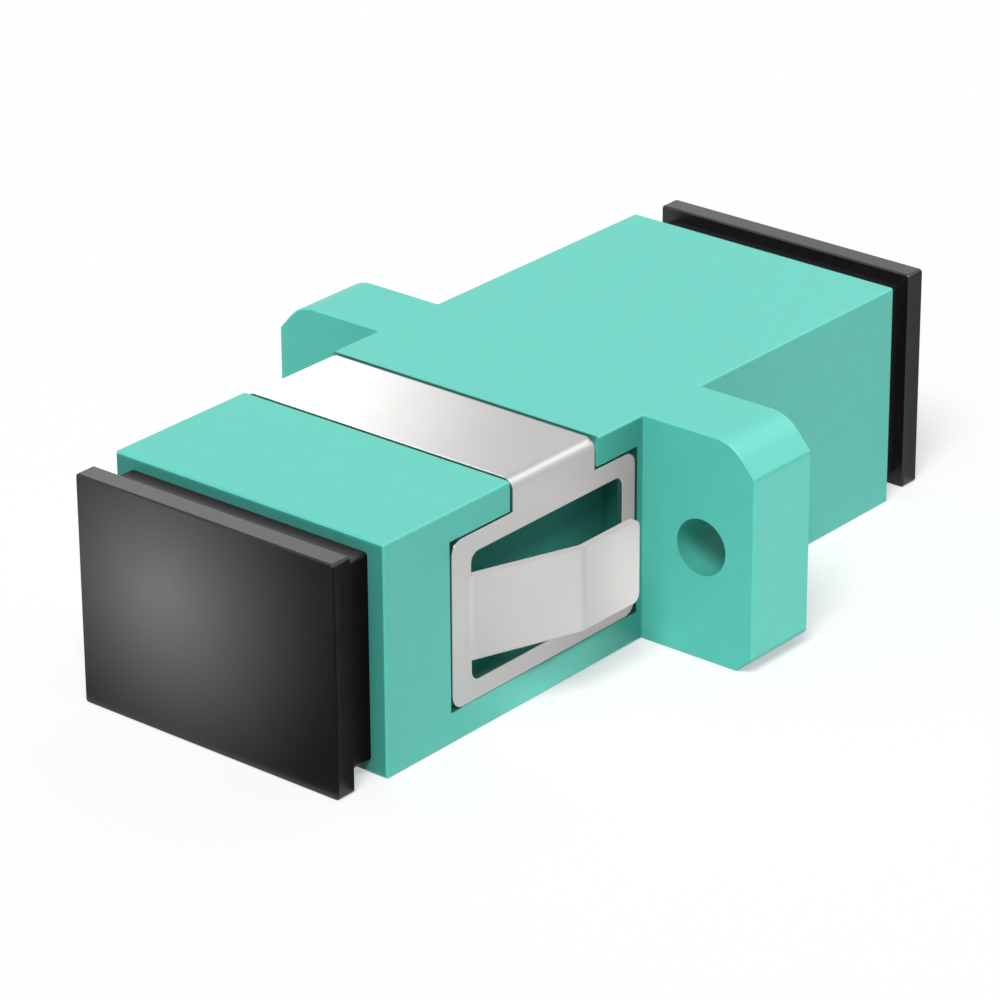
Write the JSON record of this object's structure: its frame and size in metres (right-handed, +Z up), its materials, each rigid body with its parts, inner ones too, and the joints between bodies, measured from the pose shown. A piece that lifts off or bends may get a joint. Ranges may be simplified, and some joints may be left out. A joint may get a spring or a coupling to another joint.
{
  "type": "sc simplex fibre adapter",
  "caption": "Flanged coupling body that joins fibre plugs end to end, with a folded spring clip, latch holders and a split sleeve inside, and pull-off dust caps.",
  "frame": {"origin": "on the optical axis, where it crosses the flange face that meets the panel", "axes": "+Y along the optical axis towards the rear port, +X along the line of the two flange holes, +Z up, away from the keyways"},
  "size_m": [0.0228, 0.0345, 0.009],
  "materials": {
    "aqua_plastic": "fine satin moulded plastic",
    "holder_plastic": "off-white engineering plastic",
    "sleeve_ceramic": "ground white ceramic",
    "clip_steel": "bright rolled stainless spring steel",
    "cap_rubber": "smooth black soft plastic"
  },
  "bodies": {
    "adapter": {"front_body": "aqua_plastic", "rear_body": "aqua_plastic", "front_latch_holder": "holder_plastic", "rear_latch_holder": "holder_plastic", "split_sleeve": "sleeve_ceramic", "spring_clip": "clip_steel"},
    "front_cap": {"front_dust_cap": "cap_rubber"},
    "rear_cap": {"rear_dust_cap": "cap_rubber"}
  },
  "joints": [
    {"name": "front_cap_pull", "type": "slide", "parent": "adapter", "child": "front_cap", "axis": [0, -1, 0], "range_m": [0, 0.03]},
    {"name": "rear_cap_pull", "type": "slide", "parent": "adapter", "child": "rear_cap", "axis": [0, 1, 0], "range_m": [0, 0.03]}
  ]
}
